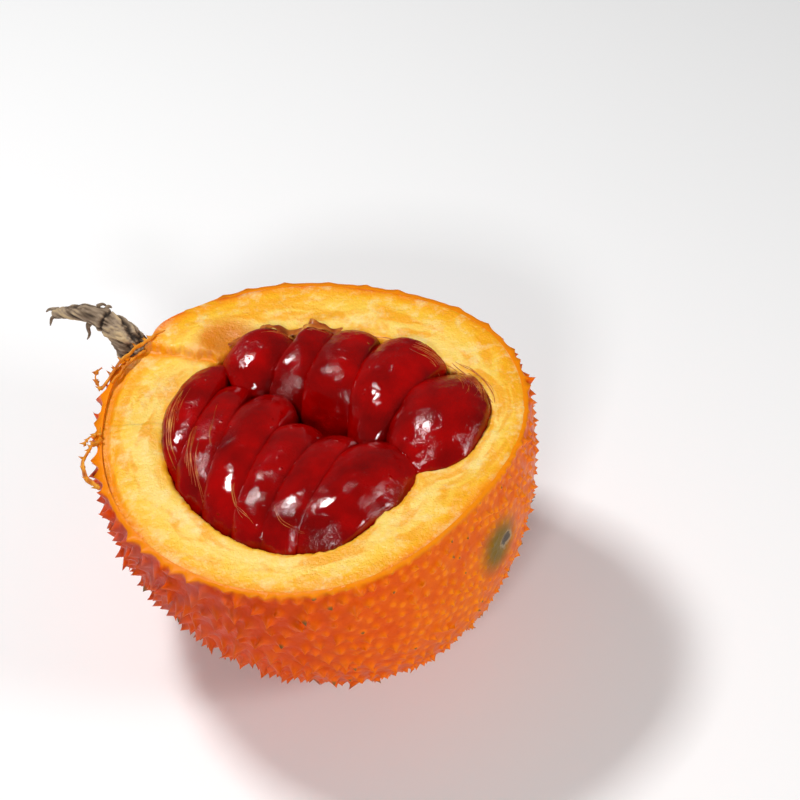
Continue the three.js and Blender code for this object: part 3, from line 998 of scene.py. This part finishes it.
def sweep(points, faces, path, halfWidths, halfDepths, upward, sides):
    first = len(points)
    count = len(path)
    for i in range(count):
        run = (path[min(i + 1, count - 1)] - path[max(i - 1, 0)]).normalized()
        lift = Vector(upward[i]) if isinstance(upward, list) else Vector(upward)
        side = run.cross(lift).normalized()
        lift = side.cross(run)
        for k in range(sides):
            turn = 2 * math.pi * k / sides
            points.append(path[i] + side * math.cos(turn) * halfWidths[i] * mm
                          + lift * math.sin(turn) * halfDepths[i] * mm)
    for i in range(count - 1):
        faces.extend(bandFaces(first + i * sides, first + (i + 1) * sides, sides))
    faces.append(tuple(first + k for k in range(sides))[::-1])
    faces.append(tuple(first + (count - 1) * sides + k for k in range(sides)))


def treeOf(pieces):
    points, faces = [], []
    for piece in pieces:
        start = len(points)
        points.extend(v.co.copy() for v in piece.data.vertices)
        faces.extend(tuple(start + i for i in f.vertices) for f in piece.data.polygons)
    return BVHTree.FromPolygons(points, faces)


softTree = treeOf(arilPieces + [fleshPiece])


def drape(path, lift):           # drops a path given on the cut face onto the arils and flesh
    result = []
    for x, y, rise in path:
        hit = softTree.ray_cast(onCut(x, y, 20), -cutNormal, 0.06)[0]
        result.append((hit if hit else onCut(x, y, 0)) + cutNormal * (rise + lift) * mm)
    for _ in range(2):
        result = [result[0]] + [(result[i - 1] + result[i] * 2 + result[i + 1]) / 4
                                for i in range(1, len(result) - 1)] + [result[-1]]
    return result


fibres = {
    "seed": 5,
    "bundles": (                 # path on the cut face in mm, strands, spread in mm, strand radius
        (((24, 20), (31, 17), (36, 12)), 16, 1.6, 0.09),
        (((33, 17), (39, 11), (42.5, 4), (43, -2)), 22, 1.5, 0.10),
        (((30, 17.5), (36, 14.5), (41, 9), (42.5, 5)), 12, 2.4, 0.08),
        (((38, 12), (41, 6), (41, 0)), 12, 2.6, 0.07),
        (((-34, 14), (-37, 5), (-37.2, -4), (-35, -11)), 7, 0.9, 0.16),
        (((-33, 14), (-35.5, 6), (-35.5, -3)), 4, 1.0, 0.09),
        (((-30.5, 0), (-31.5, -10), (-30.5, -19)), 6, 0.8, 0.15),
        (((-29, -5), (-29.5, -14), (-27, -24)), 4, 0.9, 0.09),
        (((-25, 8), (-26.5, -2), (-26, -11)), 3, 0.7, 0.09),
        (((-21, -20), (-19, -28), (-14, -34)), 3, 1.2, 0.08),
        (((-9, -30), (-7, -35), (-1, -38)), 2, 1.6, 0.07),
        (((-20, 33), (-10, 34.5), (0, 34), (9, 32)), 12, 1.2, 0.10),
        (((-12, 33), (-4, 33.5), (6, 31)), 9, 1.6, 0.07),
        (((8, 32), (16, 29), (23, 25)), 8, 1.2, 0.07),
    ),
    "films": (                   # path, half width in mm, lift in mm
        (((-14, 33.6), (-7, 34.6), (0, 34.2), (6, 32.8)), 1.5, 0.9),
        (((-24, 31.5), (-19, 34.2), (-12, 34.4)), 1.2, 0.8),
        (((-8, 31.5), (-3, 32.8), (3, 32.0)), 0.8, 0.5),
        (((33, 15.5), (38, 11.5), (41.5, 6)), 0.7, 0.1),
    ),
}


def fibreMaterial(name, hexCode, roughness):
    # thin placenta fibre, moist: tan where it dries, stained orange-brown by the pulp's oil
    material, tree, shader, place = newMaterial(name, {"Roughness": roughness})
    stain = addNode(tree, "ShaderNodeTexNoise", {"Vector": place, "Scale": 300.0, "Detail": 3.0})
    ramp = setRamp(addNode(tree, "ShaderNodeValToRGB", {"Fac": stain.outputs["Fac"]}),
                   [(0.3, "#8e2c06"), (0.5, hexCode), (0.72, "#d9963c")])
    tree.links.new(ramp.outputs["Color"], shader.inputs["Base Color"])
    return material


def makeFibres(material):
    pick = random.Random(fibres["seed"])
    points, faces = [], []
    for path, strands, spread, radius in fibres["bundles"]:
        for _ in range(strands):
            start, end = sorted((pick.uniform(0, 0.4), pick.uniform(0.55, 1.0)))
            line = smoothPath(path, 40)
            line = line[int(start * 39):max(int(end * 39), int(start * 39) + 8)]
            offset = pick.gauss(0, spread * 0.6)
            fan = pick.gauss(0, spread * 0.7)
            phase, wave = pick.uniform(0, 6.28), pick.uniform(1.5, 4.5)
            track = []
            for i, (x, y) in enumerate(line):
                t = i / (len(line) - 1)
                shift = offset + fan * (t - 0.5) + 0.18 * math.sin(phase + wave * t * 2)
                run = line[min(i + 1, len(line) - 1)] - line[max(i - 1, 0)]
                run = run / max(np.hypot(*run), 1e-6)
                track.append((x - run[1] * shift, y + run[0] * shift, 0.0))
            draped = drape(track, radius * 0.1)
            thin = radius * pick.uniform(0.6, 1.5)
            widths = [thin * (0.25 + 0.75 * math.sin(math.pi * (i + 0.5) / len(draped)) ** 0.5)
                      for i in range(len(draped))]
            sweep(points, faces, draped, widths, [w * 0.8 for w in widths], cutNormal, 5)
    piece = meshPiece("placentaFibres", points, faces, material)
    print("fibres:", len(piece.data.polygons), "faces")
    return piece


def makeFilms(material):
    points, faces = [], []
    for number, (path, halfWidth, lift) in enumerate(fibres["films"]):
        line = smoothPath(path, 44)
        draped = drape([(x, y, 0.0) for x, y in line], lift)
        wobble = [noise.noise(Vector((i * 0.23, number * 7.0, 0.5))) for i in range(len(draped))]
        widths = [halfWidth * (0.2 + 0.8 * math.sin(math.pi * (i + 0.5) / len(draped)) ** 0.6)
                  * (1 + 0.5 * wobble[i]) for i in range(len(draped))]
        upward = [cutNormal + cutY * (0.5 * wobble[(i + 9) % len(draped)] + 0.1) for i in range(len(draped))]
        sweep(points, faces, draped, widths, [0.1] * len(draped), upward, 12)
    return meshPiece("placentaFilm", points, faces, material)


fibrePiece = makeFibres(fibreMaterial("placentaFibre", "#b84a0c", 0.4))
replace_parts(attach(fibrePiece, "root"), "husk")
filmPiece = makeFilms(fibreMaterial("driedFilm", "#b45c1c", 0.35))
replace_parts(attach(filmPiece, "root"), "husk")

# strips of skin the knife left hanging at the rim, spikes and all

strips = {
    "seed": 9,
    "paths": (                   # mm on the cut face, with height; half width, half thickness, spikes
        (((-40, 40.5, 0.3), (-44, 37.5, 1.4), (-48.5, 33, 1.9), (-53, 28, 1.5), (-57.3, 21.5, -0.6)),
         1.3, 0.4, 16),
        (((-46, 33.5, 0.6), (-50.5, 28.5, 1.0), (-54.5, 22.5, 0.2)), 0.7, 0.3, 5),
        (((-57.3, 20.5, 0.5), (-58.6, 24, 1.9), (-56.8, 26.5, 2.4)), 0.35, 0.2, 6),
        (((-55.6, 2.5, 0.2), (-58.0, -0.5, 0.9), (-59.6, -5, 0.7), (-58.9, -10, 0.3), (-55, -14.5, 0)),
         1.0, 0.4, 13),
        (((-55.8, 4.5, 0.1), (-58.2, 3.5, 0.8), (-60.2, 1.2, -0.4)), 0.4, 0.2, 4),
    ),
    "spikeHeight": 1.9,          # mm
}


def addCone(points, faces, foot, direction, radius, height, sides=6):
    side = direction.orthogonal().normalized()
    other = direction.cross(side)
    first = len(points)
    for share, reach in ((1.0, 0.0), (0.4, 0.4)):
        for k in range(sides):
            turn = 2 * math.pi * k / sides
            ring = side * math.cos(turn) + other * math.sin(turn)
            points.append(foot + ring * radius * share * mm + direction * height * reach * mm)
    points.append(foot + direction * height * mm)
    for k in range(sides):
        n = (k + 1) % sides
        faces.append((first + k, first + n, first + sides + n, first + sides + k))
        faces.append((first + sides + k, first + sides + n, first + 2 * sides))
    faces.append(tuple(first + k for k in range(sides))[::-1])


def makeStrips(material):
    pick = random.Random(strips["seed"])
    points, faces = [], []
    for path, halfWidth, halfDepth, count in strips["paths"]:
        line = [onCut(*p) for p in smoothPath(path, 40)]
        line = [p + noise.noise_vector(p / (2.5 * mm)) * 0.35 * mm for p in line]
        widths = [halfWidth * (0.35 + 0.65 * math.sin(math.pi * (i + 0.5) / 40) ** 0.5)
                  * (1 + 0.35 * noise.noise(p / (1.5 * mm))) for i, p in enumerate(line)]
        outward = [((p - cutCentre).normalized() * 0.9 + cutNormal * 0.5).normalized() for p in line]
        sweep(points, faces, line, widths, [halfDepth] * 40, outward, 10)
        for _ in range(count):
            i = pick.randrange(2, 38)
            lean = Vector((pick.gauss(0, 0.3), pick.gauss(0, 0.3), pick.gauss(0, 0.3)))
            direction = (outward[i] + lean).normalized()
            tall = strips["spikeHeight"] * pick.uniform(0.6, 1.15)
            addCone(points, faces, line[i] - direction * 0.2 * mm, direction, 0.8, tall)
    return meshPiece("looseSkin", points, faces, material)


def looseSkinMaterial():
    # a strip of skin peeled off by the knife: orange flesh side out, drying darker at its spikes
    material, tree, shader, place = newMaterial("peeledGacSkin",
                                                {"Roughness": 0.5, "Specular IOR Level": 0.3})
    drying = addNode(tree, "ShaderNodeTexNoise", {"Vector": place, "Scale": 350.0, "Detail": 3.0})
    ramp = setRamp(addNode(tree, "ShaderNodeValToRGB", {"Fac": drying.outputs["Fac"]}),
                   [(0.32, "#b4560c"), (0.5, "#e08a14"), (0.7, "#f0a838")])
    tree.links.new(ramp.outputs["Color"], shader.inputs["Base Color"])
    return material


stripPiece = makeStrips(looseSkinMaterial())
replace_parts(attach(stripPiece, "root"), "husk")

# stem: a dry fibrous stalk

stem = {
    "voxel": 0.32,
    "smoothSteps": 8,
    "grooveRise": 0.42,
    "node": (-57.0, 41.5, 3.2),  # mm from the fruit's middle, the old leaf node's ring
    "shreds": (                  # mm from the fruit's middle: path, then half width
        (((-61.5, 44.2, 2.2), (-62.8, 44.2, -0.6), (-62.6, 43.8, -3.6), (-63.3, 43.6, -5.2)), 0.75),
        (((-60.4, 43.4, 2.4), (-61.8, 43.4, 0.6), (-62.6, 43.4, -0.8)), 0.9),
        (((-71.4, 49.7, -1.6), (-73.2, 49.8, -3.6), (-73.6, 49.3, -5.6)), 0.7),
        (((-71.0, 50.3, -0.6), (-73.4, 51.0, -1.2), (-74.6, 51.0, -2.2)), 0.7),
        (((-57.6, 43.4, 5.6), (-56.8, 43.8, 6.6), (-55.8, 43.4, 6.4)), 0.8),
        (((-59.8, 44.4, 6.0), (-58.4, 44.6, 6.6), (-57.2, 44.0, 6.3)), 0.6),
    ),
}


def stemMaterial():
    # dried vine stalk, matt: colour follows the relief, near-black in the grooves and the crack at the node,
    # pale tan on the ridges
    material, tree, shader, place = newMaterial("driedVineStalk", {"Roughness": 0.85})
    groove = attributeValue(tree, "groove")
    ramp = setRamp(addNode(tree, "ShaderNodeValToRGB", {"Fac": groove}),
                   [(0.0, "#2c2016"), (0.3, "#6e5a46"), (0.6, "#9c8770"), (1.0, "#c8ad84")])
    tree.links.new(ramp.outputs["Color"], shader.inputs["Base Color"])
    fine = addNode(tree, "ShaderNodeTexNoise", {"Vector": place, "Scale": 1800.0, "Detail": 3.0})
    tree.links.new(layBumps(tree, [(fine.outputs["Fac"], 0.5, 0.0003)]), shader.inputs["Normal"])
    return material


def makeStem(material):
    piece = copyOfNode("stem", "stalk")
    applyModifier(piece, "REMESH", mode="VOXEL", voxel_size=stem["voxel"] * mm, use_smooth_shade=True)
    applyModifier(piece, "SMOOTH", factor=0.5, iterations=stem["smoothSteps"])
    places, normals = meshArrays(piece)
    lowest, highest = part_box("stem")
    run = Vector((lowest.x - highest.x, highest.y - lowest.y, 0.0)).normalized()
    along = places @ np.array(run)
    stretched = places - np.outer(along, run) * 0.86
    grooves = fractal(stretched, 1.5, 3, 5.0)
    node = (middle + Vector(stem["node"]) * mm).dot(run)
    pastNode = (along - node) / mm + 0.5 * fractal(places, 3.0, 2, 8.0)
    deeper = mix(1.7, 0.8, smoothStep(-1.0, 1.0, pastNode))
    crack = np.exp(-(pastNode / 0.35) ** 2)
    swollen = np.exp(-((pastNode - 0.9) / 0.9) ** 2)
    lift = grooves * stem["grooveRise"] * deeper - 0.45 * crack + 0.45 * swollen
    places += normals * (lift * mm)[:, None]
    # colour: darker with the grooves, in the crack and on the stalk before the node
    grooves = grooves * 1.15 - 1.1 * crack - 0.25 * smoothStep(-4, -9, pastNode)
    setPlaces(piece, places)
    storeValues(piece, "groove", np.clip(grooves * 0.7 + 0.5, 0, 1))
    dressPiece(piece, material)
    print("stem:", len(piece.data.polygons), "faces")
    return piece


def makeShreds(material):
    points, faces = [], []
    for path, halfWidth in stem["shreds"]:
        line = [middle + Vector(p) * mm for p in smoothPath(path, 14)]
        line = [p + noise.noise_vector(p / (1.2 * mm)) * 0.12 * mm for p in line]
        widths = [halfWidth * (1 - i / 14) ** 0.8 + 0.05 for i in range(14)]
        sweep(points, faces, line, widths, [w * 0.55 for w in widths], Vector((0.2, -1, 0.3)), 8)
    piece = meshPiece("stalkShreds", points, faces, material)
    storeValues(piece, "groove", [0.42 + 0.3 * noise.noise(p / (0.8 * mm)) for p in points])
    return piece


stalk = stemMaterial()
for piece in (makeStem(stalk), makeShreds(stalk)):
    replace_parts(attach(piece, "root"), "stem")

# floor and lights

studio = {
    "floorColor": "#ffffff",
    "floorSize": 6.0,
    "world": 0.09,
    "lamps": (                   # name, place in metres, size in metres, watts
        ("keyLeft", (-0.30, 0.18, 0.62), (0.15, 0.10), 3.2),
        ("fillFront", (-0.10, -0.68, 0.56), (0.16, 0.13), 2.6),
        ("fillRight", (0.75, -0.25, 0.40), (0.22, 0.22), 2.7),
    ),
}


def addStage():
    deselectAll()
    bpy.ops.mesh.primitive_plane_add(size=studio["floorSize"], location=(0, 0, 0))
    floor = bpy.context.object
    floor.name = "floor"
    paint = {"Base Color": linearColor(studio["floorColor"]), "Roughness": 0.9}
    floor.data.materials.append(newMaterial("paleSweep", paint)[0])


def addSoftbox(name, place, size, power, aim):
    data = bpy.data.lights.new(name, "AREA")
    data.shape = "RECTANGLE"
    data.size, data.size_y = size
    data.energy = power
    lamp = bpy.data.objects.new(name, data)
    scene.collection.objects.link(lamp)
    lamp.location = place
    lamp.rotation_euler = (Vector(aim) - Vector(place)).to_track_quat("-Z", "Y").to_euler()


def addLights():
    world = bpy.data.worlds.new("softRoom")
    scene.world = world
    world.use_nodes = True
    world.node_tree.nodes["Background"].inputs["Color"].default_value = (1, 1, 1, 1)
    world.node_tree.nodes["Background"].inputs["Strength"].default_value = studio["world"]
    for name, place, size, power in studio["lamps"]:
        addSoftbox(name, place, size, power, (0.0, 0.0, 0.05))


addStage()
addLights()
scene.view_settings.view_transform = "Standard"
